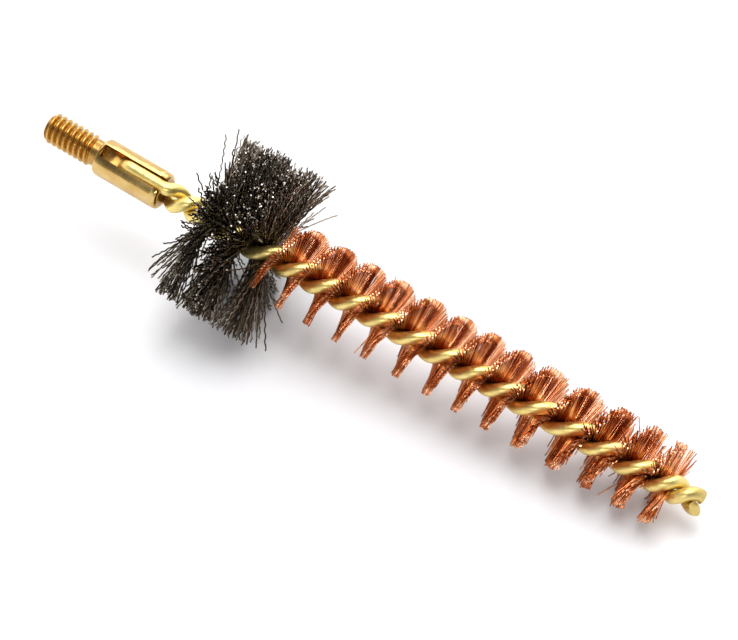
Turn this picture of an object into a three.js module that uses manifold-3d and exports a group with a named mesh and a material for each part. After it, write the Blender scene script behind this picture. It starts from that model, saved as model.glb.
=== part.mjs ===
// A threaded twisted-wire brush: a brass coupling with an 8-32 stud, one brass core wire
// looped through the coupling and twisted on itself, a collar of crimped steel bristles and
// a long section of phosphor-bronze bristles, both pinched between the two strands.
//
// Row frame, millimetres, +Z up, with the brush lying on a bench as it does in use: it stands
// on the rim of the steel collar and on the nose of the bronze section, so its axis dips
// towards the nose. The origin is the centre of the stud's flat end face. The brush axis runs
// from there in the XZ plane, along +X and REST_TILT below it. The bench is at z = -BENCH_DROP.
//
// Everything is built round a straight local axis (+x from the stud to the nose, y and z
// across it), in one group that carries the tilt. Angles round that axis run from +y to +z.
import * as THREE from "three";
import { mergeVertices } from "three/addons/utils/BufferGeometryUtils.js";
import Module from "manifold-3d";

const wasm = await Module();
wasm.setup();

// ---- driving dimensions, mm and degrees ----
const REST_TILT = 6.0; // how far the axis dips when the brush lies on a bench
const BENCH_DROP = 14.22; // the bench below the stud's end
const LENGTH = 92.9; // stud end to nose of the core wire

// Stud: 8-32 UNC, major diameter at the low end of its class.
const THREAD_D = 4.0;
const THREAD_MINOR_D = 3.05;
const THREAD_PITCH = 0.79375;
const THREAD_END = 6.65; // last full thread
const NECK_START = THREAD_END + 0.1;
const NECK_D = 3.4; // plain relief behind the thread
const STUD_SEGMENTS = 20; // round the stud, and per turn of the thread

// Body of the coupling, with six pressed flats.
const BODY_START = 7.7; // shoulder a rod seats against
const SHOULDER_R = 2.08;
const BODY_CONE = 0.55; // cone from the shoulder up to the full body
const BODY_END = 17.25;
const BODY_R = 4.88 / 2; // over the rounded corners
const BODY_FLATS = 4.46; // across the flats
const FLAT_AT = 125.2; // angle of one flat's normal round the axis
const FLATS_END = 16.35; // the end of the body past this is left round
const BODY_CHAMFER = 0.5;
const BODY_SEGMENTS = 36;

// Wire slot on both sides of the body, round at its blind end, and the cross hole for the loop.
const WIRE_D = 1.65;
const SLOT_W = 1.74;
const SLOT_FLOOR = 0.6; // floor's distance from the axis, each side
const SLOT_START = 8.1; // where the slot meets the body's surface
const SAW_R = 2.2; // radius of the slot's blind end
const HOLE_AT = 11.25;
const HOLE_D = 1.8;
const SLOT_AT = 103.5; // angle of the first slot round the axis
const LOOP_BEND_R = 1.0;
const SLOT_WIRE_R = 1.46; // wire centre's distance from the axis inside the slot
const WIRE_CLEAR = 0.07; // cut from the coupling all round the wire

// Twist: stations on the axis, 180 degrees of turn apart.
// The hand is left: the strands turn from +y towards -z as x grows.
const TWIST_START = 17.3;
const FIRST_TURN = 161.6; // degrees turned at the first station
const STATIONS = [
  20.4, 23.4, 27.6, 32.6, 36.85, 40.95, 45.0, 49.15, 53.65, 58.05, 62.05,
  66.15, 70.55, 75.55, 80.2, 84.6, 88.4, 91.0, 93.9,
];
const BARE_R = WIRE_D / 2 + 0.04; // wire centre's distance from the axis, without bristles

// Bristles: the wires lie side by side in the gap between the strands.
// gap: between the strands; sheet: thickness of the sheet of wires, outside the core.
const STEEL = { from: 23.4, to: 32.8, radius: 11.1, gap: 0.4, sheet: 0.34 };
const STEEL_GROUPS = 8;
const BRONZE = { from: 33.3, to: 89.3, radius: 5.25, gap: 0.3, sheet: 0.24 };
const CLEAR = 0.06; // kept between the bristles and the strands
const GROUP_GAP = 0.12; // kept between neighbouring bristle groups, along the axis
const PINCH_REACH = 0.8; // a sheet keeps its pinched thickness this far from the axis
const FLARE_REACH = 1.7; // and has its full thickness from here outwards

// x ranges over which the strands change their distance from the axis.
const LEAVE_SLOT = [17.0, 19.6];
const OPEN_FOR_STEEL = [21.8, 23.3];
const STEEL_TO_BRONZE = [32.2, 33.6];
const CLOSE_AFTER_BRONZE = [BRONZE.to, 90.6];

// ---- directions round the axis ----
const rad = THREE.MathUtils.degToRad;
const polar = (x, radius, angle) =>
  new THREE.Vector3(x, radius * Math.cos(angle), radius * Math.sin(angle));
const radial = (angle) => polar(0, 1, angle);
const tangent = (angle) => new THREE.Vector3(0, -Math.sin(angle), Math.cos(angle));

// ---- twist law: knots of x and degrees turned, joined by a monotone cubic ----
const knots = [
  { x: TWIST_START, turn: 0 },
  ...STATIONS.map((x, i) => ({ x, turn: FIRST_TURN + 180 * i })),
];
// spans[i] runs from knot i to knot i + 1.
const spans = knots.slice(1).map((knot, i) => {
  const width = knot.x - knots[i].x;
  return { width, rate: (knot.turn - knots[i].turn) / width };
});
const slopes = knots.map((_, i) => {
  if (i === 0) return 0;
  const before = spans[i - 1];
  if (i === spans.length) return before.rate;
  const after = spans[i];
  // Weighted harmonic mean of the two spans' rates.
  const weightBefore = 2 * after.width + before.width;
  const weightAfter = after.width + 2 * before.width;
  return (
    (weightBefore + weightAfter) / (weightBefore / before.rate + weightAfter / after.rate)
  );
});

// Degrees turned at x.
function turned(x) {
  if (x <= TWIST_START) return 0;
  let i = 0;
  while (i < spans.length - 1 && x > knots[i + 1].x) i++;
  const { width } = spans[i];
  const t = (x - knots[i].x) / width;
  return (
    knots[i].turn * (1 + 2 * t) * (1 - t) ** 2 +
    slopes[i] * width * t * (1 - t) ** 2 +
    knots[i + 1].turn * t * t * (3 - 2 * t) +
    slopes[i + 1] * width * t * t * (t - 1)
  );
}

const strandAngle = (x) => rad(SLOT_AT - turned(x)); // of the first strand

// Radians turned per millimetre.
function turnRate(x) {
  const reach = 0.05;
  return rad((turned(x + reach) - turned(x - reach)) / (2 * reach));
}

function ease(x, [start, end]) {
  const t = Math.min(1, Math.max(0, (x - start) / (end - start)));
  return t * t * (3 - 2 * t);
}

// Wire centre's distance from the axis.
function strandRadius(x) {
  const spread = (gap) => (WIRE_D + gap) / 2 - BARE_R;
  const slotToBare = SLOT_WIRE_R - (SLOT_WIRE_R - BARE_R) * ease(x, LEAVE_SLOT);
  const steelSpread =
    spread(STEEL.gap) * ease(x, OPEN_FOR_STEEL) * (1 - ease(x, STEEL_TO_BRONZE));
  const bronzeSpread =
    spread(BRONZE.gap) * ease(x, STEEL_TO_BRONZE) * (1 - ease(x, CLOSE_AFTER_BRONZE));
  return slotToBare + steelSpread + bronzeSpread;
}

// ---- geometry helpers ----
// A closed surface through rings of points, all with the same count, with flat ends
// triangulated like capShape.
function loft(rings, capShape) {
  const count = rings[0].length;
  const index = [];
  for (let k = 0; k + 1 < rings.length; k++)
    for (let i = 0; i < count; i++) {
      const here = k * count + i;
      const next = k * count + ((i + 1) % count);
      index.push(here, next, next + count, here, next + count, here + count);
    }
  const cap = THREE.ShapeUtils.triangulateShape(capShape, []);
  if (THREE.ShapeUtils.area(capShape) < 0) cap.forEach((triangle) => triangle.reverse());
  const last = (rings.length - 1) * count;
  cap.forEach(([a, b, c]) => {
    index.push(c, b, a);
    index.push(last + a, last + b, last + c);
  });
  const geometry = new THREE.BufferGeometry().setFromPoints(rings.flat());
  geometry.setIndex(index);
  return geometry;
}

// A manifold from a closed geometry, turned right side out if need be.
function solid(geometry) {
  const bare = new THREE.BufferGeometry();
  bare.setAttribute("position", geometry.attributes.position);
  bare.setIndex(geometry.index);
  const merged = mergeVertices(bare, 1e-4);
  const make = (triVerts) =>
    new wasm.Manifold(
      new wasm.Mesh({
        numProp: 3,
        vertProperties: new Float32Array(merged.attributes.position.array),
        triVerts,
      }),
    );
  const triangles = new Uint32Array(merged.index.array);
  const made = make(triangles);
  if (made.volume() > 0) return made;
  for (let i = 0; i < triangles.length; i += 3)
    [triangles[i + 1], triangles[i + 2]] = [triangles[i + 2], triangles[i + 1]];
  return make(triangles);
}

function geometryOf(manifold) {
  const mesh = manifold.getMesh();
  const geometry = new THREE.BufferGeometry();
  const positions = new Float32Array(mesh.vertProperties);
  geometry.setAttribute("position", new THREE.BufferAttribute(positions, 3));
  geometry.setIndex(new THREE.BufferAttribute(new Uint32Array(mesh.triVerts), 1));
  geometry.computeVertexNormals();
  return geometry;
}

// A profile of [x, radius] turned about the brush axis, closed to the axis at both ends.
function turnedSolid(profile, segments) {
  const closed = [[profile[0][0], 0], ...profile, [profile.at(-1)[0], 0]];
  const geometry = new THREE.LatheGeometry(
    closed.map(([x, radius]) => new THREE.Vector2(radius, x)),
    segments,
  );
  geometry.rotateZ(-Math.PI / 2);
  return solid(geometry);
}

function polygon(radius, sides, firstAngle = 0) {
  const points = [];
  for (let i = 0; i < sides; i++) {
    const angle = firstAngle + (2 * Math.PI * i) / sides;
    points.push(new THREE.Vector2(radius * Math.cos(angle), radius * Math.sin(angle)));
  }
  return new THREE.Shape(points);
}

// ---- materials ----
const metal = ({ color, roughness }) =>
  new THREE.MeshStandardMaterial({ color, roughness, metalness: 1 });
const brass = metal({ color: 0xd9a441, roughness: 0.28 });
const wireBrass = metal({ color: 0xd8c05a, roughness: 0.34 });
const steel = metal({ color: 0x3a342e, roughness: 0.42 });
const bronze = metal({ color: 0xb4602f, roughness: 0.3 });

const brush = new THREE.Group();
brush.rotation.y = rad(REST_TILT); // +x local dips below +X
function add(name, manifold, material) {
  const mesh = new THREE.Mesh(geometryOf(manifold), material);
  mesh.name = name;
  brush.add(mesh);
}

// ---- core wire: nose, first strand, loop through the coupling, second strand, nose ----
function coreWirePoints() {
  const strandStep = 0.15;
  const bendSteps = 12;
  const loopEnd = HOLE_AT + LOOP_BEND_R; // where the bends meet the strands
  const xs = [];
  for (let x = LENGTH; x > loopEnd + 0.1; x -= strandStep) xs.push(x);
  const strandPoint = (x, side) =>
    polar(x, strandRadius(x), strandAngle(x) + side * Math.PI);

  // Two quarter bends, joined by a straight run across the axis.
  const straight = SLOT_WIRE_R - LOOP_BEND_R;
  const loop = [];
  for (const [centre, start] of [[straight, 0], [-straight, Math.PI / 2]])
    for (let i = 0; i <= bendSteps; i++) {
      const t = start + (i / bendSteps) * (Math.PI / 2);
      const x = loopEnd - LOOP_BEND_R * Math.sin(t);
      loop.push(polar(x, centre + LOOP_BEND_R * Math.cos(t), rad(SLOT_AT)));
    }
  return [
    ...xs.map((x) => strandPoint(x, 0)),
    ...loop,
    ...xs.reverse().map((x) => strandPoint(x, 1)),
  ];
}

// A polyline as a curve whose parameter is proportional to length.
class Polyline extends THREE.Curve {
  constructor(points) {
    super();
    this.points = points;
    this.lengths = [0]; // along the line, up to each point
    for (let i = 1; i < points.length; i++)
      this.lengths.push(this.lengths[i - 1] + points[i].distanceTo(points[i - 1]));
  }
  getPoint(t, target = new THREE.Vector3()) {
    const { points, lengths } = this;
    const wanted = t * lengths.at(-1);
    let low = 0;
    let high = lengths.length - 1;
    while (high - low > 1) {
      const middle = (low + high) >> 1;
      if (lengths[middle] <= wanted) low = middle;
      else high = middle;
    }
    const fraction = (wanted - lengths[low]) / (lengths[high] - lengths[low]);
    return target.lerpVectors(points[low], points[high], fraction);
  }
}

const wirePath = new Polyline(coreWirePoints());
function wire({ radius, sides, steps }) {
  const section = polygon(radius, sides);
  section.closePath();
  return solid(
    new THREE.ExtrudeGeometry(section, {
      steps,
      extrudePath: wirePath,
      bevelEnabled: false,
    }),
  );
}
add("core_wire", wire({ radius: WIRE_D / 2, sides: 8, steps: 336 }), wireBrass);

// ---- coupling ----
const ROOT_R = THREAD_MINOR_D / 2;
const CREST_R = THREAD_D / 2;

// A helical ridge, trimmed to the stud's length with a chamfered start and a run-out.
function threadRidge() {
  const ridgeWidth = THREAD_PITCH * 0.96;
  // [distance from the ridge's middle as a fraction of ridgeWidth, radius]
  const flank = [
    [0.4, ROOT_R - 0.2],
    [0.38, ROOT_R],
    [0.07, CREST_R],
  ];
  const ridge = [
    ...flank.map(([along, radius]) => [-along * ridgeWidth, radius]),
    ...flank.toReversed().map(([along, radius]) => [along * ridgeWidth, radius]),
  ];
  const turns = (THREAD_END + THREAD_PITCH) / THREAD_PITCH;
  const rings = [];
  for (let i = 0; i <= turns * STUD_SEGMENTS; i++) {
    const angle = (2 * Math.PI * i) / STUD_SEGMENTS;
    const middle = -THREAD_PITCH / 2 + (THREAD_PITCH * i) / STUD_SEGMENTS;
    rings.push(ridge.map(([x, radius]) => polar(middle + x, radius, angle)));
  }
  const capShape = ridge.map(([x, radius]) => new THREE.Vector2(x, radius));
  const envelopeR = CREST_R + 0.02;
  const envelope = turnedSolid(
    [
      [0, 1.5],
      [0.5, envelopeR],
      [THREAD_END - 0.3, envelopeR],
      [NECK_START, ROOT_R - 0.05],
    ],
    STUD_SEGMENTS,
  );
  return solid(loft(rings, capShape)).intersect(envelope);
}

// The stud inside its thread, and the neck, let into the body.
function studCore() {
  const neckEnd = BODY_START + 0.2;
  return turnedSolid(
    [
      [0, 1.4],
      [0.12, ROOT_R],
      [THREAD_END, ROOT_R],
      [NECK_START, NECK_D / 2],
      [neckEnd, NECK_D / 2],
    ],
    STUD_SEGMENTS,
  );
}

const chamferedEnd = [
  [BODY_END - BODY_CHAMFER, BODY_R],
  [BODY_END, BODY_R - BODY_CHAMFER],
];
const bodyBar = turnedSolid(
  [[BODY_START, SHOULDER_R], [BODY_START + BODY_CONE, BODY_R], ...chamferedEnd],
  BODY_SEGMENTS,
);
const roundEnd = turnedSolid([[FLATS_END, BODY_R], ...chamferedEnd], BODY_SEGMENTS);

// Six-sided bar, from ahead of the shoulder to the end of the flats.
function hexBar() {
  const overrun = 1;
  const hexagon = polygon(BODY_FLATS / Math.sqrt(3), 6, rad(FLAT_AT + 30));
  const bar = new THREE.ExtrudeGeometry(hexagon, {
    depth: FLATS_END - BODY_START + overrun,
    bevelEnabled: false,
  });
  // The shape's x and y become the brush's y and z.
  bar.applyMatrix4(
    new THREE.Matrix4().makeBasis(
      new THREE.Vector3(0, 1, 0),
      new THREE.Vector3(0, 0, 1),
      new THREE.Vector3(1, 0, 0),
    ),
  );
  bar.translate(BODY_START - overrun, 0, 0);
  return solid(bar);
}

function slotCut(angle) {
  const arcSteps = 8;
  const depth = BODY_R - SLOT_FLOOR;
  const flatFrom = SLOT_START + Math.sqrt(2 * SAW_R * depth - depth * depth);
  const openEnd = BODY_END + 1;
  const top = BODY_R + 1.5;
  // Side view: x, height from the axis.
  const outline = [
    new THREE.Vector2(openEnd, SLOT_FLOOR),
    new THREE.Vector2(openEnd, top),
    new THREE.Vector2(flatFrom - SAW_R, top),
  ];
  for (let i = 0; i <= arcSteps; i++) {
    const t = ((1 - i / arcSteps) * Math.PI) / 2;
    outline.push(
      new THREE.Vector2(
        flatFrom - SAW_R * Math.sin(t),
        SLOT_FLOOR + SAW_R * (1 - Math.cos(t)),
      ),
    );
  }
  const side = new THREE.Shape(outline);
  side.closePath();
  const cut = new THREE.ExtrudeGeometry(side, { depth: SLOT_W, bevelEnabled: false });
  cut.translate(0, 0, -SLOT_W / 2);
  // x stays, the shape's height points outward at the slot's angle
  cut.applyMatrix4(
    new THREE.Matrix4().makeBasis(
      new THREE.Vector3(1, 0, 0),
      radial(angle),
      tangent(angle),
    ),
  );
  return solid(cut);
}

function crossHole() {
  const hole = new THREE.CylinderGeometry(HOLE_D / 2, HOLE_D / 2, 8, 16);
  hole.rotateX(rad(SLOT_AT)); // its axis, +y, turns to the slot's angle
  hole.translate(HOLE_AT, 0, 0);
  return solid(hole);
}

// Room for the wire, over the body's length only.
function wireRelief() {
  const nearBody = bodyBar.scale([1, 1.3, 1.3]);
  return wire({ radius: WIRE_D / 2 + WIRE_CLEAR, sides: 12, steps: 300 }).intersect(nearBody);
}

const coupling = bodyBar
  .intersect(hexBar())
  .add(roundEnd)
  .add(studCore())
  .add(threadRidge())
  .subtract(slotCut(rad(SLOT_AT)))
  .subtract(slotCut(rad(SLOT_AT + 180)))
  .subtract(crossHole())
  .subtract(wireRelief());
add("threaded_coupling", coupling, brass);

// ---- bristle groups ----
// The space below the bench's top, in the brush's own axes. Bristles are cut off there.
function benchBlock() {
  const thickness = 60;
  const block = new THREE.BoxGeometry(260, 120, thickness);
  block.translate(60, 0, -thickness / 2 - BENCH_DROP);
  block.rotateY(-rad(REST_TILT));
  return solid(block);
}
const bench = benchBlock();

// One group: a sheet of wires side by side, each across the axis and square to the strands.
function addBristles(name, { from, to, radius, gap, sheet }, material) {
  const degreesPerStep = 15;
  const start = from + GROUP_GAP / 2;
  const end = to - GROUP_GAP / 2;
  const steps = Math.max(2, Math.ceil((turned(end) - turned(start)) / degreesPerStep));
  const across = [-radius, -FLARE_REACH, -PINCH_REACH, PINCH_REACH, FLARE_REACH, radius];
  const halfCore = gap / 2 - CLEAR;

  // Section of the sheet at x: distance along the wires, and across the sheet.
  const sectionAt = (x) => {
    const rate = turnRate(x);
    const half = (reach) =>
      Math.abs(reach) <= PINCH_REACH
        ? halfCore
        : Math.max(halfCore, (sheet / 2) * Math.sqrt(1 + (reach * rate) ** 2));
    return [
      ...across.map((reach) => new THREE.Vector2(reach, -half(reach))),
      ...across.toReversed().map((reach) => new THREE.Vector2(reach, half(reach))),
    ];
  };
  const rings = [];
  for (let k = 0; k <= steps; k++) {
    const x = start + ((end - start) * k) / steps;
    const angle = strandAngle(x) + Math.PI / 2;
    rings.push(
      sectionAt(x).map((point) =>
        new THREE.Vector3(x, 0, 0)
          .addScaledVector(radial(angle), point.x)
          .addScaledVector(tangent(angle), point.y),
      ),
    );
  }
  add(name, solid(loft(rings, sectionAt(end))).subtract(bench), material);
}

const steelStep = (STEEL.to - STEEL.from) / STEEL_GROUPS;
for (let i = 0; i < STEEL_GROUPS; i++) {
  const from = STEEL.from + i * steelStep;
  addBristles(`steel_bristles_${i + 1}`, { ...STEEL, from, to: from + steelStep }, steel);
}

// Bronze fans, one for each half turn. Each is split where its wires stand straight up.
const fans = STATIONS.slice(4, 17);
fans.forEach((middle, i) => {
  const from = i ? (fans[i - 1] + middle) / 2 : BRONZE.from;
  const to = i + 1 < fans.length ? (middle + fans[i + 1]) / 2 : BRONZE.to;
  const name = `bronze_fan_${String(i + 1).padStart(2, "0")}`;
  addBristles(`${name}a`, { ...BRONZE, from, to: middle }, bronze);
  addBristles(`${name}b`, { ...BRONZE, from: middle, to }, bronze);
});

const part = new THREE.Group();
part.add(brush);
export default part;
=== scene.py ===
"""A twisted-wire tube brush lying on a bench, nose down by six degrees.

Its parts, from the thread to the nose, are a brass coupling, a brass core wire folded in
two and twisted, a collar of crimped steel wires and thirteen fans of bronze wires.

Brush axes, in mm: x runs along the brush from the thread's end to the nose, and y and z
lie across it. The row frame has the same origin and y axis, with z upright.
"""
import math

import bmesh
import bpy
import numpy as np
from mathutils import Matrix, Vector


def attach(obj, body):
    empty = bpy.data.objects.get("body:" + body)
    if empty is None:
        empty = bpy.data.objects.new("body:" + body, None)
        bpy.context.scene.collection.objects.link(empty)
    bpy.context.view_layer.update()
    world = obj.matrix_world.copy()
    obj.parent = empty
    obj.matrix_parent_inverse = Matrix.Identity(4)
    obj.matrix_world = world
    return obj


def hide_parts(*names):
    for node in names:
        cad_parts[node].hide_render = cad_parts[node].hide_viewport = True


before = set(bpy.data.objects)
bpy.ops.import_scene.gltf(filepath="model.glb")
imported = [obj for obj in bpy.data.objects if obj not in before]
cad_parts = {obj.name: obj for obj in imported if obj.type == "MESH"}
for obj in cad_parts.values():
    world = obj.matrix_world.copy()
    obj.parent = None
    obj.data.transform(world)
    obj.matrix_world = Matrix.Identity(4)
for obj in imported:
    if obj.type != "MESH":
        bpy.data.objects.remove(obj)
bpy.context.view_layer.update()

# ------------------------------------------------------------------ driving sizes, mm
MM = 0.001
TILT = math.radians(6.0)  # the axis dips towards the nose
COS_TILT, SIN_TILT = math.cos(TILT), math.sin(TILT)
BENCH = -14.22  # bench height in the row frame
LENGTH = 92.9

# Coupling
THREAD_D, THREAD_MINOR, PITCH = 4.0, 3.05, 0.79375
NECK_R, SHOULDER_R = 1.70, 2.08
BODY_START, BODY_END, BODY_D, BODY_FLATS = 7.7, 17.25, 4.88, 4.46
BODY_R = BODY_D / 2
BODY_CONE = 0.55  # length of the rounded shoulder
FLATS_END = 16.35
FLAT_AT = math.radians(125.2)  # direction one flat faces, from y towards z
SLOT_AT = math.radians(103.5)  # direction of the first slot, likewise
HOLE_AT = 11.25
HOLE_R = 0.9

# Core wire
WIRE_R = 0.84
LOOP_R = 1.0  # bends where the wire passes through the cross hole
SLOT_WIRE_R = 1.46  # strand centre from the axis: in the slots, then twisted bare
BARE_WIRE_R = 0.865
TWIST_START = 17.3
# x of each half turn of the twist
STATIONS = [
    20.4, 23.4, 27.6, 32.6, 36.85, 40.95, 45.0, 49.15, 53.65, 58.05, 62.05,
    66.15, 70.55, 75.55, 80.2, 84.6, 88.4, 91.0, 93.9,
]
FIRST_TURN, HALF_TURN = 161.6, 180.0  # degrees turned at the first station, and per station

# Bristles
GRIP = 0.75  # a bristle stays straight this far from the axis
STEEL_FROM, STEEL_TO, STEEL_R, STEEL_GROUPS = 23.4, 32.8, 11.1, 8
SPLAY_FACE = math.radians(31.9)  # side of the collar that splays most, from y towards z
BRONZE_FROM, BRONZE_TO, BRONZE_R = 33.3, 89.3, 5.25


# ------------------------------------------------------------------ the twist
TWIST_X = np.array([TWIST_START] + STATIONS)
TWIST_TURN = np.radians([0.0] + [FIRST_TURN + HALF_TURN * i for i in range(len(STATIONS))])


def twist_slopes():
    """Slopes at the stations for a cubic that never turns back."""
    step = np.diff(TWIST_X)
    rate = np.diff(TWIST_TURN) / step
    slopes = np.zeros(len(TWIST_X))
    for i in range(1, len(TWIST_X) - 1):
        before, after = 2 * step[i] + step[i - 1], step[i] + 2 * step[i - 1]
        slopes[i] = (before + after) / (before / rate[i - 1] + after / rate[i])
    slopes[-1] = rate[-1]
    return slopes


TWIST_SLOPE = twist_slopes()


def turned(x):
    """How far the strands have turned at x, in radians."""
    x = np.atleast_1d(np.asarray(x, float))
    i = np.clip(np.searchsorted(TWIST_X, x, side="right") - 1, 0, len(TWIST_X) - 2)
    step = TWIST_X[i + 1] - TWIST_X[i]
    t = np.clip((x - TWIST_X[i]) / step, 0, None)
    turn = (
        TWIST_TURN[i] * (1 + 2 * t) * (1 - t) ** 2
        + TWIST_SLOPE[i] * step * t * (1 - t) ** 2
        + TWIST_TURN[i + 1] * t * t * (3 - 2 * t)
        + TWIST_SLOPE[i + 1] * step * t * t * (t - 1)
    )
    return np.where(x <= TWIST_START, 0.0, turn)


def strand_angle(x):
    return SLOT_AT - turned(x)


def bristle_angle(x):
    """Bristles lie across the core, square to the two strands."""
    return strand_angle(x) + np.pi / 2


def ease(x, start, end):
    t = np.clip((np.asarray(x, float) - start) / (end - start), 0, 1)
    return t * t * (3 - 2 * t)


def strand_radius(x):
    """Strand centre from the axis: wider where bristles keep the strands apart."""
    radius = SLOT_WIRE_R - (SLOT_WIRE_R - BARE_WIRE_R) * ease(x, 17.0, 19.6)
    to_bronze = ease(x, 32.2, 33.6)
    radius = radius + 0.16 * ease(x, 21.8, 23.3) * (1 - to_bronze)
    return radius + 0.11 * to_bronze * (1 - ease(x, BRONZE_TO, 90.6))


def to_row(points):
    """Brush axes in mm to the row frame in metres."""
    points = np.asarray(points, float)
    x, y, z = points[..., 0], points[..., 1], points[..., 2]
    return np.stack([x * COS_TILT + z * SIN_TILT, y, -x * SIN_TILT + z * COS_TILT], -1) * MM


def smooth_random(rng, count, spread):
    """Values that wander smoothly, with unit spread: neighbours are alike."""
    values = rng.normal(size=count + 6 * spread)
    kernel = np.exp(-0.5 * (np.arange(-3 * spread, 3 * spread + 1) / spread) ** 2)
    values = np.convolve(values, kernel, "same")[3 * spread : 3 * spread + count]
    return values / np.sqrt((kernel**2).sum())


# ------------------------------------------------------------------ mesh building
def new_object(name, data):
    ob = bpy.data.objects.new(name, data)
    bpy.context.scene.collection.objects.link(ob)
    return ob


def mesh_from(name, verts, quads, caps, attrs=None, smooth=False):
    """A mesh object from arrays of vertices, four-sided faces and end faces.
    attrs is {name: (kind, values)}."""
    me = bpy.data.meshes.new(name)
    verts = np.asarray(verts, np.float32).reshape(-1, 3)
    loops, starts = [], []
    loop_count = 0
    for faces in (quads, caps):
        faces = np.asarray(faces, np.int32)
        loops.append(faces.reshape(-1))
        starts.append(loop_count + np.arange(len(faces), dtype=np.int32) * faces.shape[1])
        loop_count += faces.size
    loops, starts = np.concatenate(loops), np.concatenate(starts)
    me.vertices.add(len(verts))
    me.vertices.foreach_set("co", verts.reshape(-1))
    me.loops.add(len(loops))
    me.loops.foreach_set("vertex_index", loops)
    me.polygons.add(len(starts))
    me.polygons.foreach_set("loop_start", starts)
    me.update(calc_edges=True)
    me.validate()
    for key, (kind, values) in (attrs or {}).items():
        attribute = me.attributes.new(key, kind, "POINT")
        field = "value" if kind == "FLOAT" else "vector"
        attribute.data.foreach_set(field, np.asarray(values, np.float32).reshape(-1))
    if smooth:
        me.shade_smooth()
    else:
        me.shade_flat()
    return new_object(name, me)


def circle(sides):
    return 2 * np.pi * np.arange(sides) / sides


def tube_faces(rings, sides):
    """Side faces of a tube made of rings of vertices, and its two end faces."""
    base = np.arange(rings - 1)[:, None] * sides
    i = np.arange(sides)
    j = (i + 1) % sides
    quads = np.stack([base + i, base + j, base + j + sides, base + i + sides], -1)
    return quads.reshape(-1, 4), np.stack([i[::-1], (rings - 1) * sides + i])


def flatten_caps(ob, count):
    """Flat shading for the end faces, which come last."""
    smooth = np.ones(len(ob.data.polygons), bool)
    smooth[-count:] = False
    ob.data.polygons.foreach_set("use_smooth", smooth)


def wires(name, paths, radius, sides, tone, out):
    """Closed round wires along paths (wire, point, 3) in mm. tone and out fill attributes."""
    count, points, _ = paths.shape
    tangent = np.empty_like(paths)
    tangent[:, 1:-1] = paths[:, 2:] - paths[:, :-2]
    tangent[:, 0] = paths[:, 1] - paths[:, 0]
    tangent[:, -1] = paths[:, -1] - paths[:, -2]
    tangent /= np.linalg.norm(tangent, axis=-1, keepdims=True)
    x_axis = np.zeros_like(tangent)
    x_axis[..., 0] = 1.0
    normal = np.cross(tangent, x_axis)
    normal /= np.linalg.norm(normal, axis=-1, keepdims=True)
    binormal = np.cross(tangent, normal)
    angle = circle(sides)[:, None]
    rings = paths[:, :, None] + radius * (
        np.cos(angle) * normal[:, :, None] + np.sin(angle) * binormal[:, :, None]
    )
    quads, caps = tube_faces(points, sides)
    first = np.arange(count)[:, None] * points * sides
    quads = (quads[None] + first[..., None]).reshape(-1, 4)
    caps = (caps[:, None] + first[None]).reshape(-1, sides)
    attrs = {
        key: ("FLOAT", np.repeat(np.broadcast_to(v, (count, points))[..., None], sides, 2))
        for key, v in (("wire_rand", tone), ("wire_out", out))
    }
    ob = mesh_from(name, to_row(rings), quads, caps, attrs, smooth=True)
    flatten_caps(ob, 2 * count)
    return ob


# ------------------------------------------------------------------ node materials
class Nodes:
    """A material with one Principled shader, and short calls that add nodes to it."""

    def __init__(self, name):
        self.mat = bpy.data.materials.new(name)
        self.mat.use_nodes = True
        self.tree = self.mat.node_tree
        self.tree.nodes.clear()
        output = self.tree.nodes.new("ShaderNodeOutputMaterial")
        self.bsdf = self.tree.nodes.new("ShaderNodeBsdfPrincipled")
        self.tree.links.new(self.bsdf.outputs[0], output.inputs["Surface"])

    def put(self, socket, value):
        """Link a socket, or set a number, a vector or an RGB colour."""
        if isinstance(value, bpy.types.NodeSocket):
            self.tree.links.new(value, socket)
        elif isinstance(value, tuple):
            socket.default_value = (*value, 1)[: len(socket.default_value)]
        else:
            socket.default_value = value

    def add(self, kind, inputs, **props):
        node = self.tree.nodes.new(kind)
        for key, value in props.items():
            setattr(node, key, value)
        for key, value in inputs.items():
            self.put(node.inputs[key], value)
        return node.outputs

    def math(self, operation, a, b=0.0):
        return self.add("ShaderNodeMath", {0: a, 1: b}, operation=operation)[0]

    def attr(self, name, output="Fac"):
        return self.add("ShaderNodeAttribute", {}, attribute_name=name)[output]

    def mix(self, base, over, amount):
        return self.add("ShaderNodeMix", {0: amount, 6: base, 7: over}, data_type="RGBA")[2]

    def ramp(self, fac, stops):
        node = self.tree.nodes.new("ShaderNodeValToRGB")
        while len(node.color_ramp.elements) < len(stops):
            node.color_ramp.elements.new(0.5)
        for element, (position, color) in zip(node.color_ramp.elements, stops):
            element.position = position
            element.color = (*color, 1)
        self.put(node.inputs[0], fac)
        return node.outputs[0]

    def remap(self, value, span, to):
        inputs = dict(enumerate((value, *span, *to)))
        return self.add("ShaderNodeMapRange", inputs)[0]

    def noise(self, vector, scale, detail):
        inputs = {"Scale": scale, "Detail": detail, "Roughness": 0.55, "Vector": vector}
        return self.add("ShaderNodeTexNoise", inputs)[0]

    def mapping(self, vector, **inputs):
        return self.add("ShaderNodeMapping", {"Vector": vector, **inputs})[0]

    def brush_coords(self):
        """Object coordinates turned onto the brush's own axes, in mm."""
        coords = self.add("ShaderNodeTexCoord", {})["Object"]
        return self.mapping(coords, Rotation=(0, -TILT, 0), Scale=(1000, 1000, 1000))

    def separate(self, vector):
        return self.add("ShaderNodeSeparateXYZ", {0: vector})

    def bump(self, height, strength, distance, normal=None):
        inputs = {"Strength": strength, "Distance": distance, "Height": height}
        if normal is not None:
            inputs["Normal"] = normal
        return self.add("ShaderNodeBump", inputs)[0]

    def finish(self, **inputs):
        for key, value in inputs.items():
            self.put(self.bsdf.inputs[key.replace("_", " ")], value)
        return self.mat


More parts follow.
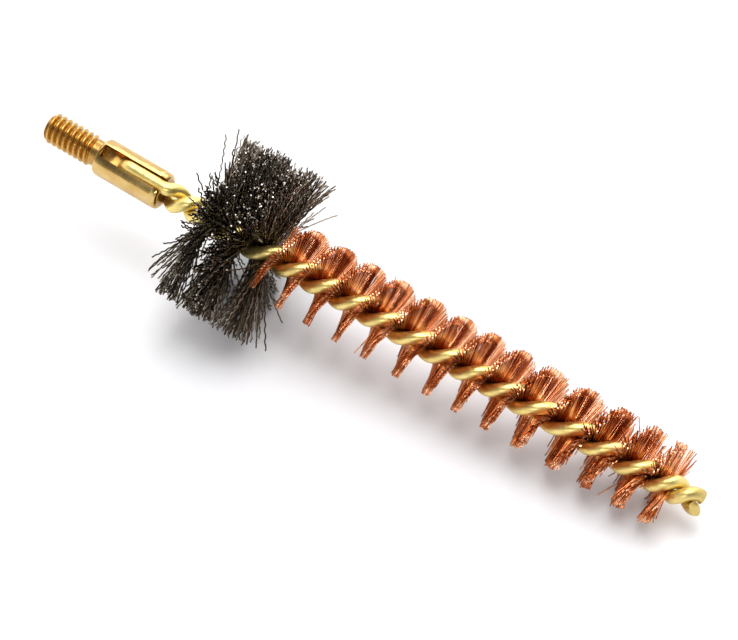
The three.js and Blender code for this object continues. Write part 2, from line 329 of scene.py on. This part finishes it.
def coupling_material():
    m = Nodes("turned_brass")
    coords = m.brush_coords()
    x, y, z = m.separate(coords)
    y_squared = m.math("MULTIPLY", y, y)
    z_squared = m.math("MULTIPLY", z, z)
    radius = m.math("SQRT", m.math("ADD", y_squared, z_squared))
    cloud = m.noise(coords, scale=0.55, detail=4)
    fine = m.noise(coords, scale=6.0, detail=3)
    # painted shade: the thread's roots and the slots are coloured darker, and made rougher
    root = m.remap(radius, span=(1.55, 1.98), to=(1.0, 0.0))
    base = m.ramp(cloud, [
        (0.3, (0.58, 0.37, 0.12)),
        (0.55, (0.66, 0.45, 0.16)),
        (0.75, (0.72, 0.53, 0.22)),
    ])
    in_thread = m.remap(x, span=(7.0, 7.6), to=(1.0, 0.0))
    base = m.mix(base, (0.62, 0.37, 0.09), amount=m.math("MULTIPLY", in_thread, 0.75))
    # painted shade in the thread's roots and the slots
    base = m.mix(base, (0.30, 0.12, 0.02), amount=m.math("MULTIPLY", root, 0.7))
    # turning marks run round the bar, and drawing marks along the flats
    rings = m.noise(m.mapping(coords, Scale=(28, 0.35, 0.35)), scale=1.0, detail=2)
    lines = m.noise(m.mapping(coords, Scale=(0.5, 14, 14)), scale=1.0, detail=2)
    normal = m.bump(rings, strength=0.12, distance=0.00003)
    normal = m.bump(lines, strength=0.10, distance=0.00003, normal=normal)
    normal = m.bump(cloud, strength=0.25, distance=0.0002, normal=normal)
    polish = m.remap(fine, span=(0.3, 0.7), to=(0.13, 0.22))
    rough = m.math("ADD", polish, m.math("MULTIPLY", root, 0.12))
    return m.finish(Base_Color=base, Metallic=1.0, Roughness=rough, Normal=normal)


def core_material():
    m = Nodes("drawn_brass_wire")
    coords = m.brush_coords()
    wire_uv = m.attr("wire_uv", "Vector")
    cloud = m.noise(coords, scale=0.8, detail=3)
    draw = m.noise(m.mapping(wire_uv, Scale=(0.35, 9.0, 1)), scale=1.0, detail=3)
    base = m.ramp(cloud, [
        (0.3, (0.77, 0.58, 0.16)),
        (0.6, (0.89, 0.72, 0.25)),
        (0.8, (0.83, 0.68, 0.28)),
    ])
    bright = m.remap(draw, span=(0.35, 0.75), to=(0.0, 0.25))
    base = m.mix(base, (0.95, 0.86, 0.50), amount=bright)
    x = m.separate(coords)[0]
    nose = m.remap(x, span=(LENGTH - 3.6, LENGTH - 0.2), to=(0.0, 0.65))
    base = m.mix(base, (0.50, 0.36, 0.12), amount=nose)
    normal = m.bump(draw, strength=0.12, distance=0.00005)
    normal = m.bump(cloud, strength=0.35, distance=0.0002, normal=normal)
    dents = m.noise(coords, scale=3.0, detail=3)
    normal = m.bump(dents, strength=0.25, distance=0.0001, normal=normal)
    rough = m.remap(draw, span=(0.3, 0.7), to=(0.34, 0.44))
    return m.finish(Base_Color=base, Metallic=1.0, Roughness=rough, Normal=normal)


def bristle_nodes(name, stops):
    """What the bristle materials share: a tone for each wire, holding random tone together
    with painted light and shade, and the way out along it.
    """
    m = Nodes(name)
    tone = m.attr("wire_rand")
    out = m.attr("wire_out")  # 0 at the core, 1 at the cut end
    return m, tone, out, m.ramp(tone, stops), m.brush_coords()


def bronze_material():
    m, tone, out, base, coords = bristle_nodes("phosphor_bronze_wire", [
        (0.0, (0.34, 0.075, 0.018)),
        (0.35, (0.58, 0.17, 0.05)),
        (0.7, (0.86, 0.35, 0.145)),
        (1.0, (0.98, 0.58, 0.36)),
    ])
    patches = m.noise(coords, scale=1.4, detail=3)
    patches = m.remap(patches, span=(0.4, 0.7), to=(0.0, 0.35))
    base = m.mix(base, (0.40, 0.11, 0.035), amount=patches)
    # the outer part darkens, mostly on the wires toned dark as painted shade
    outer = m.remap(out, span=(0.55, 0.97), to=(0.0, 0.65))
    dark_wire = m.remap(tone, span=(0.35, 0.75), to=(1.0, 0.12))
    base = m.mix(base, (0.32, 0.075, 0.018), amount=m.math("MULTIPLY", outer, dark_wire))
    # painted highlight: the cut ends of bright wires are coloured pale, as glints
    tip_glint = m.remap(out, span=(0.994, 0.999), to=(0.0, 0.55))
    bright = m.remap(tone, span=(0.5, 0.85), to=(0.0, 1.0))
    base = m.mix(base, (0.98, 0.60, 0.38), amount=m.math("MULTIPLY", tip_glint, bright))
    rough = m.remap(tone, span=(0.0, 1.0), to=(0.20, 0.11))
    normal = m.bump(m.noise(coords, scale=14.0, detail=2), strength=0.2, distance=0.00004)
    return m.finish(Base_Color=base, Metallic=1.0, Roughness=rough, Normal=normal)


def steel_material():
    m, tone, out, base, coords = bristle_nodes("crimped_steel_wire", [
        (0.0, (0.045, 0.034, 0.022)),
        (0.45, (0.14, 0.114, 0.084)),
        (0.8, (0.34, 0.29, 0.235)),
        (1.0, (0.66, 0.60, 0.53)),
    ])
    patches = m.noise(coords, scale=0.5, detail=2)
    patches = m.remap(patches, span=(0.45, 0.7), to=(0.0, 0.5))
    base = m.mix(base, (0.12, 0.075, 0.045), amount=patches)
    # painted highlight: the cut ends of bright wires are coloured pale grey, as glints
    tip_glint = m.remap(out, span=(0.985, 0.998), to=(0.0, 0.8))
    bright = m.remap(tone, span=(0.55, 0.75), to=(0.0, 1.0))
    base = m.mix(base, (0.62, 0.60, 0.57), amount=m.math("MULTIPLY", tip_glint, bright))
    normal = m.bump(m.noise(coords, scale=16.0, detail=2), strength=0.25, distance=0.00004)
    rough = m.remap(tone, span=(0.0, 1.0), to=(0.30, 0.17))
    return m.finish(Base_Color=base, Metallic=1.0, Roughness=rough, Normal=normal)


MATERIALS = {
    "coupling_brass": coupling_material(),
    "core_wire_brass": core_material(),
    "bronze_bristle": bronze_material(),
    "steel_bristle": steel_material(),
}


def finish_piece(ob, slot, *nodes):
    ob.data.materials.clear()
    ob.data.materials.append(MATERIALS[slot])
    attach(ob, "root")
    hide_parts(*nodes)


# ------------------------------------------------------------------ coupling
def revolve(x, radius, sides):
    """A closed solid about x. radius is (rings, 1) or (rings, sides)."""
    angle = circle(sides)
    x = np.repeat(x[:, None], sides, 1)
    verts = np.stack([x, radius * np.cos(angle), radius * np.sin(angle)], -1)
    quads, caps = tube_faces(len(x), sides)
    return verts.reshape(-1, 3), quads[:, [0, 3, 2, 1]], caps[:, ::-1]


def lathe(profile, sides):
    """A closed solid of revolution about x from [x, radius] points."""
    x, radius = np.array(profile).T
    return revolve(x, radius[:, None], sides)


def prism(outline, u_axis, v_axis, depth_axis, start, end):
    """A prism from a closed outline of (u, v) points, from start to end in depth."""
    outline = np.asarray(outline, float)
    flat = outline[:, :1] * np.array(u_axis, float) + outline[:, 1:] * np.array(v_axis, float)
    depth_axis = np.array(depth_axis, float)
    verts = np.concatenate([flat + depth_axis * start, flat + depth_axis * end])
    return verts, *tube_faces(2, len(outline))


def apply_modifier(ob, modifier):
    bpy.context.view_layer.objects.active = ob
    bpy.ops.object.modifier_apply(modifier=modifier.name)


def boolean(ob, other, operation):
    modifier = ob.modifiers.new("boolean", "BOOLEAN")
    modifier.operation = operation
    modifier.object = other
    modifier.solver = "EXACT"
    apply_modifier(ob, modifier)
    bpy.data.objects.remove(other)


def outward_solid(name, verts, quads, caps):
    """A helper solid with its normals made to face outward."""
    ob = mesh_from(name, verts, quads, caps)
    bm = bmesh.new()
    bm.from_mesh(ob.data)
    bmesh.ops.recalc_face_normals(bm, faces=bm.faces[:])
    bm.to_mesh(ob.data)
    bm.free()
    return ob


def thread_solid():
    """The threaded stud and its neck, reaching a little way into the body."""
    sides, rings_per_pitch, rings_end = 96, 26, 7.1
    rings = int(rings_end / PITCH * rings_per_pitch)
    x = np.concatenate([[0.0], np.linspace(0.0, rings_end, rings), [7.2, 7.4, 7.9]])
    along = x[:, None]
    phase = (along / PITCH - circle(sides) / (2 * np.pi)) % 1.0
    # sloping flanks with flat crests and roots, their corners a little rounded
    triangle = 1 - np.abs(phase * 2 - 1)
    flank_from, flank_to = 0.14, 0.86
    height = np.clip((triangle - flank_from) / (flank_to - flank_from), 0, 1)
    height = height * height * (3 - 2 * height) * 0.35 + height * 0.65
    radius = THREAD_MINOR / 2 + (THREAD_D / 2 - THREAD_MINOR / 2) * height
    radius = NECK_R + (radius - NECK_R) * (1 - ease(along, 6.45, 6.8))
    radius = np.minimum(radius, 1.46 + along)  # 45 degree chamfer
    radius[0] = 1.40
    return revolve(x, radius, sides)


def body_blank():
    """The body as a round bar with a rounded shoulder at the thread end."""
    profile = [
        [BODY_START + BODY_CONE * t,
         SHOULDER_R + (BODY_R - SHOULDER_R) * math.sin(t * math.pi / 2) ** 0.9]
        for t in np.linspace(0, 1, 5)
    ]
    profile += [[x, BODY_R] for x in np.linspace(BODY_START + 1.5, BODY_END - 1.2, 6)]
    return lathe(profile + [[BODY_END - 0.6, BODY_R]], 120)


def hex_prism():
    corner_r = BODY_FLATS / math.sqrt(3)
    corners = []
    for i in range(6):
        angle = FLAT_AT + math.radians(30 + 60 * i)
        corners.append([corner_r * math.cos(angle), corner_r * math.sin(angle)])
    return prism(corners, [0, 1, 0], [0, 0, 1], [1, 0, 0], BODY_START - 1, FLATS_END)


def round_end():
    """The last of the body, left round and with its edge rounded."""
    edge = 0.5
    profile = [[FLATS_END - 0.02, BODY_R], [FLATS_END + 0.02, BODY_R]]
    for t in np.linspace(0, 1, 6):
        angle = t * math.pi / 2
        profile.append(
            [BODY_END - edge + edge * math.sin(angle), BODY_R - edge * (1 - math.cos(angle))]
        )
    return lathe(profile + [[BODY_END, BODY_R - 0.6]], 120)


def slot_outline():
    """(x, outward) outline of a wire slot: a flat floor that runs out in an arc."""
    floor_r, start, cutter_r, arc_steps = 0.6, 8.1, 2.2, 24
    depth = BODY_R - floor_r
    flat_from = start + math.sqrt(2 * cutter_r * depth - depth * depth)
    beyond, top = BODY_END + 1, BODY_R + 1.5  # the cutter clears the body
    outline = [[beyond, floor_r], [beyond, top], [flat_from - cutter_r, top]]
    for i in range(arc_steps + 1):
        angle = (1 - i / arc_steps) * math.pi / 2
        outline.append([flat_from - cutter_r * math.sin(angle),
                        floor_r + cutter_r * (1 - math.cos(angle))])
    return outline[::-1]


def slot_axes(angle):
    """Directions outward from a slot's floor and across its width."""
    outward = np.array([0, math.cos(angle), math.sin(angle)])
    return outward, np.array([0, -math.sin(angle), math.cos(angle)])


def cross_hole():
    """A round cutter through the body from slot to slot."""
    verts, quads, caps = lathe([[-4, HOLE_R], [4, HOLE_R]], 48)
    outward, across = slot_axes(SLOT_AT)
    verts = (verts[:, :1] * outward + verts[:, 1:2] * across
             + verts[:, 2:] * np.array([1, 0, 0]) + np.array([HOLE_AT, 0, 0]))
    return verts, quads, caps


def coupling():
    """Modelled in mm on the brush's axes, then moved to the row frame."""
    body = mesh_from("coupling_body", *body_blank())
    boolean(body, mesh_from("hex", *hex_prism()), "INTERSECT")
    boolean(body, mesh_from("round_end", *round_end()), "UNION")
    slot_width = 1.74
    for k in range(2):
        outward, across = slot_axes(SLOT_AT + k * math.pi)
        cutter = prism(
            slot_outline(), [1, 0, 0], outward, across, -slot_width / 2, slot_width / 2
        )
        boolean(body, outward_solid("slot", *cutter), "DIFFERENCE")
    boolean(body, outward_solid("hole", *cross_hole()), "DIFFERENCE")
    bevel = body.modifiers.new("bevel", "BEVEL")
    bevel.width = 0.05
    bevel.segments = 2
    bevel.limit_method = "ANGLE"
    bevel.angle_limit = math.radians(28)
    bevel.use_clamp_overlap = True
    apply_modifier(body, bevel)
    boolean(body, outward_solid("stud", *thread_solid()), "UNION")

    me = body.data
    coords = np.zeros(len(me.vertices) * 3, np.float32)
    me.vertices.foreach_get("co", coords)
    coords = to_row(coords.reshape(-1, 3)).astype(np.float32)
    me.vertices.foreach_set("co", coords.reshape(-1))
    me.update()
    bm = bmesh.new()
    bm.from_mesh(me)
    bmesh.ops.triangulate(bm, faces=[f for f in bm.faces if len(f.verts) > 4])
    bm.to_mesh(me)
    bm.free()
    me.shade_smooth()
    me.set_sharp_from_angle(angle=math.radians(32))
    body.name = "coupling_turned"
    finish_piece(body, "coupling_brass", "threaded_coupling")


# ------------------------------------------------------------------ core wire
def strand(x, side):
    angle = strand_angle(x) + side * np.pi
    radius = strand_radius(x)
    return np.stack([x, radius * np.cos(angle), radius * np.sin(angle)], -1)


def core_path():
    """Evenly spaced points down one strand, through the cross hole and back up the other."""
    bend_x = HOLE_AT + LOOP_R
    x = np.arange(LENGTH, bend_x + 0.05, -0.1)
    x_axis = [1, 0, 0]
    outward, _ = slot_axes(SLOT_AT)
    straight = SLOT_WIRE_R - LOOP_R
    t = np.linspace(0, np.pi / 2, 16)
    bend_in = (np.outer(straight + LOOP_R * np.cos(t), outward)
               + np.outer(bend_x - LOOP_R * np.sin(t), x_axis))
    bend_out = (np.outer(-straight - LOOP_R * np.sin(t), outward)
                + np.outer(bend_x - LOOP_R * np.cos(t), x_axis))
    path = np.concatenate([strand(x, 0), bend_in, bend_out, strand(x[::-1], 1)])
    steps = np.linalg.norm(np.diff(path, axis=0), axis=1)
    length = np.concatenate([[0], np.cumsum(steps)])
    along = np.linspace(0, length[-1], int(length[-1] / 0.13))
    path = np.stack([np.interp(along, length, path[:, i]) for i in range(3)], -1)
    # a light smoothing rounds the joins between straight and bend
    for _ in range(3):
        path[1:-1] = 0.5 * path[1:-1] + 0.25 * (path[:-2] + path[2:])
    return path, along


def core_wire():
    path, along = core_path()
    count, sides = len(path), 28
    tangent = np.gradient(path, axis=0)
    tangent /= np.linalg.norm(tangent, axis=1, keepdims=True)
    # carry one normal along the wire so the rings don't twist
    normal = np.zeros_like(tangent)
    v = np.cross(tangent[0], [1.0, 0.3, 0.2])
    normal[0] = v / np.linalg.norm(v)
    for i in range(1, count):
        v = normal[i - 1] - tangent[i] * np.dot(normal[i - 1], tangent[i])
        normal[i] = v / np.linalg.norm(v)
    binormal = np.cross(tangent, normal)
    wobble = 1 + 0.006 * smooth_random(np.random.default_rng(5), count, 12)
    angle = circle(sides)
    offset = (np.cos(angle)[None, :, None] * normal[:, None]
              + np.sin(angle)[None, :, None] * binormal[:, None])
    rings = path[:, None] + WIRE_R * wobble[:, None, None] * offset
    # sheared ends: the cut leans, so the last rings slide along the wire
    shear_rings, shear = 9, 0.34
    for end, sign in ((0, 1), (count - 1, -1)):
        lean = offset[end] @ np.array([0.0, 0.5, 0.85])
        for ring in range(shear_rings):
            i = end + sign * ring
            slide = (1 - ring / shear_rings) * shear
            rings[i] += (sign * slide * (0.35 + lean))[:, None] * tangent[i]
    wire_uv = np.zeros((count, sides, 3))
    wire_uv[..., 0] = along[:, None]
    wire_uv[..., 1] = np.cos(angle)
    wire_uv[..., 2] = np.sin(angle)
    attrs = {"wire_uv": ("FLOAT_VECTOR", wire_uv)}
    faces = tube_faces(count, sides)
    ob = mesh_from("core_wire_twisted", to_row(rings), *faces, attrs, smooth=True)
    flatten_caps(ob, 2)
    finish_piece(ob, "core_wire_brass", "core_wire")


# ------------------------------------------------------------------ bristles
def through_wires(rng, x0, along, radius, gap, angle_sd, lean_sd, curl_sd, length_sd,
                  lean_mid=0.0, crimp=None):
    """Wires that lie across the core at x0 and stand out on both sides.

    along runs from -1 to 1, gap is how far they scatter between the strands, the sd values
    are spreads, and crimp is (amplitude, wavelength). Returns the paths (wire, point, 3) in
    mm and how far each point is outside the grip.
    """
    count = len(x0)
    arms = np.array([
        [
            radius * (1 + length_sd * rng.normal(size=count)),
            angle_sd * rng.normal(size=count),
            lean_sd * rng.normal(size=count) + lean_mid,
            curl_sd * rng.normal(size=count),
        ]
        for arm in range(2)
    ])
    reach, turn, lean, curl = arms[(along > 0).astype(int)].transpose(1, 2, 0)
    side = np.sign(along)
    dist = np.abs(along) * reach
    outside = np.clip(dist - GRIP, 0, None)
    offset = gap * (rng.random(count) - 0.5)
    bent = turn + curl * outside / radius
    u = side * (np.minimum(dist, GRIP) + outside * np.cos(bent) * np.cos(lean))
    w = offset[:, None] + side * outside * np.sin(bent)
    sweep = rng.normal(0, 0.25, count)[:, None]
    x = x0[:, None] + np.tan(lean) * outside + sweep * curl * outside**2 / radius
    if crimp is not None:
        amplitude, wavelength = crimp
        phase = rng.random((count, 1)) * 2 * np.pi
        plane = rng.normal(0, 0.9, (count, 1))
        wavelength = wavelength * (1 + 0.10 * rng.normal(size=(count, 1)))
        amplitude = amplitude * (1 + 0.25 * rng.normal(size=(count, 1)))
        wave = amplitude * np.sin(2 * np.pi * dist / wavelength + phase) * ease(dist, 0.9, 2.6)
        w = w + wave * np.cos(plane)
        x = x + wave * np.sin(plane)
    angle = bristle_angle(x0)
    cos, sin = np.cos(angle)[:, None], np.sin(angle)[:, None]
    return np.stack([x, u * cos - w * sin, u * sin + w * cos], -1), outside


def shift_across(paths, x0, amount):
    """Move wires square to themselves and to the brush's axis."""
    angle = bristle_angle(x0)
    paths[..., 1] += -np.sin(angle)[:, None] * amount
    paths[..., 2] += np.cos(angle)[:, None] * amount


def rest_on_bench(paths, clear):
    """Wires that would pass through the bench bend over and lie along it."""
    x, y, z = paths[..., 0], paths[..., 1], paths[..., 2]
    height = -x * SIN_TILT + z * COS_TILT - (BENCH + clear)
    over = np.clip(-height, 0, None)
    # each point moves up onto the bench, and out along it by part of what was pushed back
    arm = paths - paths[:, [paths.shape[1] // 2]]
    out_x = arm[..., 0] * COS_TILT + arm[..., 2] * SIN_TILT
    out_y = arm[..., 1]
    length = np.sqrt(out_x**2 + out_y**2) + 1e-6
    row_x = x * COS_TILT + z * SIN_TILT + over * 0.9 * out_x / length
    row_y = y + over * 0.9 * out_y / length
    row_z = -x * SIN_TILT + z * COS_TILT + over
    return np.stack(
        [row_x * COS_TILT - row_z * SIN_TILT, row_y, row_x * SIN_TILT + row_z * COS_TILT], -1
    )


def bronze_layer(rng, lo, hi, along, wear, layer, layers):
    """One layer of a fan: its paths, distances outside the grip, places and tones, light and
    dark by turns as painted shade.
    """
    count = int((hi - lo) * 9.5)
    odd = layer % 2
    x0 = lo + (np.arange(count) + (0.75 if odd else 0.25)) / count * (hi - lo)
    x0 = np.clip(x0 + rng.normal(0, 0.005 + 0.05 * wear, count), lo, hi)
    spread = (layer / (layers - 1) - 0.5) * 2
    paths, outside = through_wires(
        rng, x0, along, BRONZE_R, gap=0.02,
        angle_sd=math.radians(0.35 + 2.6 * wear),
        lean_sd=math.radians(0.5 + 2.2 * wear),
        curl_sd=0.008 + 0.06 * wear,
        length_sd=0.008 + 0.014 * wear,
        lean_mid=math.radians(4.3 + 1.8 * wear) * spread,
    )
    # the layers lie one on another in the core's gap
    shift_across(paths, x0, spread * 0.09)
    # wires are toned light and dark by turns: painted shade for the shadowed gaps between
    # wires
    return paths, outside, x0, np.full(count, 0.76 if odd else 0.20)


def bronze():
    fans = STATIONS[4:17]
    along = np.arange(-5, 6) / 5
    layers = 4
    for i, middle in enumerate(fans):
        lo = (fans[i - 1] + middle) / 2 if i else BRONZE_FROM
        hi = (middle + fans[i + 1]) / 2 if i + 1 < len(fans) else BRONZE_TO
        rng = np.random.default_rng(100 + i)
        wear = float(ease(i, 5.5, 12.5))  # the nose end is splayed by use
        parts = [bronze_layer(rng, lo, hi, along, wear, k, layers) for k in range(layers)]
        paths, outside, x0, shade = (np.concatenate(part) for part in zip(*parts))
        count = len(x0)
        # tufts: wires that are neighbours lean together
        grid = np.linspace(lo, hi, 60)
        lean = np.interp(x0, grid, smooth_random(rng, 60, 3))
        turn = np.interp(x0, grid, smooth_random(rng, 60, 2))
        paths[..., 0] += math.tan(math.radians(0.6 + 2.4 * wear)) * lean[:, None] * outside
        tuft_turn = math.tan(math.radians(0.5 + 2.6 * wear))
        shift_across(paths, x0, tuft_turn * turn[:, None] * outside)
        # a few strays
        stray = rng.random(count) < (0.0012 + 0.016 * wear)
        paths[stray, :, 0] += rng.normal(0, 0.24, stray.sum())[:, None] * outside[stray]
        paths = rest_on_bench(paths, clear=0.09)
        tone = np.interp(x0, grid, smooth_random(rng, 60, 1))
        # painted shade by turns from the layers, plus random streaks of tone
        tone = np.clip(shade + 0.30 * tone + rng.normal(0, 0.08, count), 0, 1)[:, None]
        fan = "bronze_fan_%02d" % (i + 1)
        ob = wires(fan + "_wires", paths, 0.077, 6, tone, np.abs(along))
        finish_piece(ob, "bronze_bristle", fan + "a", fan + "b")


def splay_collar(rng, paths, outside, x0, along, lo, hi):
    """Lean the wires by their place in the collar. Returns each point's share, from 0 to 1,
    of the side that splays most."""
    mid, half = (STEEL_FROM + STEEL_TO) / 2, (STEEL_TO - STEEL_FROM) / 2
    place = (x0 - mid) / half  # -1 at the coupling end, 1 at the bronze end
    # the ends of the collar fan outward, and tufts cling together
    grid = np.linspace(lo, hi, 40)
    tuft = np.interp(x0, grid, smooth_random(rng, 40, 2))
    other_tuft = np.interp(x0, grid, smooth_random(rng, 40, 3))
    curve = np.sign(place) * np.abs(place) ** 1.5
    facing = np.cos(bristle_angle(x0) - SPLAY_FACE)[:, None] * np.sign(along)[None, :]
    share = ease(facing, -0.35, 0.35)
    # leans in degrees, on the side that splays most and on the other
    splay = 4.0 + 6.0 * np.exp(-(((facing - 0.30) / 0.40) ** 2))
    main_lean = (splay * np.minimum(curve, 0)[:, None]
                 + (3.2 * np.maximum(curve, 0) + 2.4 * tuft)[:, None])
    other_lean = (1.2 * curve + 3.0 + 3.8 * other_tuft)[:, None]
    paths[..., 0] += np.tan(np.radians(main_lean * share + other_lean * (1 - share))) * outside
    # a few long strays, most at the end next to the bronze
    near_bronze = place > 0.7
    stray = rng.random(len(x0)) < 0.01 + 0.11 * near_bronze
    push = np.where(
        near_bronze[stray],
        rng.uniform(0.08, 0.28, stray.sum()),
        rng.uniform(-0.12, 0.12, stray.sum()),
    )
    paths[stray, :, 0] += push[:, None] * outside[stray] ** 1.25 / 1.6
    # limit the lean towards the coupling, most tightly on the other side
    least = -(0.11 + 0.30 * share) * outside - 0.35
    paths[..., 0] = x0[:, None] + np.maximum(paths[..., 0] - x0[:, None], least)
    return share


def steel():
    step = (STEEL_TO - STEEL_FROM) / STEEL_GROUPS
    along = np.linspace(-1, 1, 151)
    for i in range(STEEL_GROUPS):
        rng = np.random.default_rng(300 + i)
        lo, hi = STEEL_FROM + i * step, STEEL_FROM + (i + 1) * step
        count = 72 if i < 2 else 92
        x0 = lo + (np.arange(count) + rng.random(count)) / count * (hi - lo)
        paths, outside = through_wires(
            rng, x0, along, STEEL_R, gap=0.3,
            angle_sd=math.radians(20.0), lean_sd=math.radians(4.4), curl_sd=0.17,
            length_sd=0.018, crimp=(0.085, 1.22),
        )
        share = splay_collar(rng, paths, outside, x0, along, lo, hi)
        paths = rest_on_bench(paths, clear=0.12)
        # painted light: wires on the side that splays most, which faces up and away from the
        # camera, are toned lighter
        tone = rng.normal(0.42, 0.27, count)[:, None] + 0.22 * (share - 0.5)
        group = "steel_bristles_%d" % (i + 1)
        ob = wires(group + "_wires", paths, 0.095, 5, np.clip(tone, 0, 1), np.abs(along))
        finish_piece(ob, "steel_bristle", group)


# ------------------------------------------------------------------ stage, light, camera
def bench_top():
    half, z = 0.9, BENCH * MM
    me = bpy.data.meshes.new("bench_top")
    corners = [(-half, -half, z), (half, -half, z), (half, half, z), (-half, half, z)]
    me.from_pydata(corners, [], [(0, 1, 2, 3)])
    ob = new_object("bench_top", me)
    pale = Nodes("pale_floor").finish(Base_Color=(0.86, 0.855, 0.875), Roughness=0.75)
    me.materials.append(pale)


def camera():
    """Looks down from the nose end's -y side. Returns the direction back to the camera."""
    azimuth, elevation = math.radians(32.56), math.radians(52.55)
    back = Vector((
        math.sin(azimuth) * math.cos(elevation),
        -math.cos(azimuth) * math.cos(elevation),
        math.sin(elevation),
    ))
    right = Vector((math.cos(azimuth), math.sin(azimuth), 0))
    up = back.cross(right)
    axis = Vector((COS_TILT, 0, -SIN_TILT))
    across_view = 0.503 * right + 0.864 * up
    target = axis * (47.47 * MM) - across_view * (0.90 * MM)
    cam = bpy.data.cameras.new("camera")
    cam.sensor_width = 36
    cam.lens = 160.9756098
    cam.clip_start = 0.01
    ob = new_object("camera", cam)
    ob.location = target + back * (395.9 * MM)
    ob.rotation_euler = back.to_track_quat("Z", "Y").to_euler()
    bpy.context.scene.camera = ob
    return back


def area(name, offset, size, power):
    """A rectangular light, offset from the brush's middle and aimed at it, in metres."""
    centre = Vector((0.048, 0, -0.01))
    light = bpy.data.lights.new(name, "AREA")
    light.shape = "RECTANGLE"
    light.size, light.size_y = size
    light.energy = power
    ob = new_object(name, light)
    place = centre + Vector(offset)
    ob.location = place
    ob.rotation_euler = (centre - place).to_track_quat("-Z", "Y").to_euler()


def tent(back):
    """A white surround, dimmer on the camera's side."""
    world = bpy.data.worlds.new("studio")
    bpy.context.scene.world = world
    world.use_nodes = True
    tree = world.node_tree
    background = tree.nodes["Background"]
    coords = tree.nodes.new("ShaderNodeTexCoord")
    facing = tree.nodes.new("ShaderNodeVectorMath")
    facing.operation = "DOT_PRODUCT"
    facing.inputs[1].default_value = tuple(back)
    tree.links.new(coords.outputs["Generated"], facing.inputs[0])
    dim = tree.nodes.new("ShaderNodeMapRange")
    dim.interpolation_type = "SMOOTHSTEP"
    tree.links.new(facing.outputs["Value"], dim.inputs[0])
    # the cosine to the camera's side goes from, to; the strength goes from, to
    for i, value in enumerate((0.42, 0.92, 1.22, 0.08)):
        dim.inputs[i + 1].default_value = value
    tree.links.new(dim.outputs[0], background.inputs[1])
    background.inputs[0].default_value = (1, 1, 1, 1)


coupling()
core_wire()
bronze()
steel()

bench_top()
camera_side = camera()
# a broad soft light overhead, a strip on the far side and a narrow one on the camera's side
area("key", offset=(0.03, 0.07, 0.60), size=(0.40, 0.40), power=2.65)
area("back", offset=(-0.10, 0.55, 0.28), size=(0.50, 0.20), power=0.8)
area("front", offset=(0.17, -0.49, 0.31), size=(0.30, 0.05), power=0.7)
tent(camera_side)
bpy.context.scene.view_settings.view_transform = "Standard"
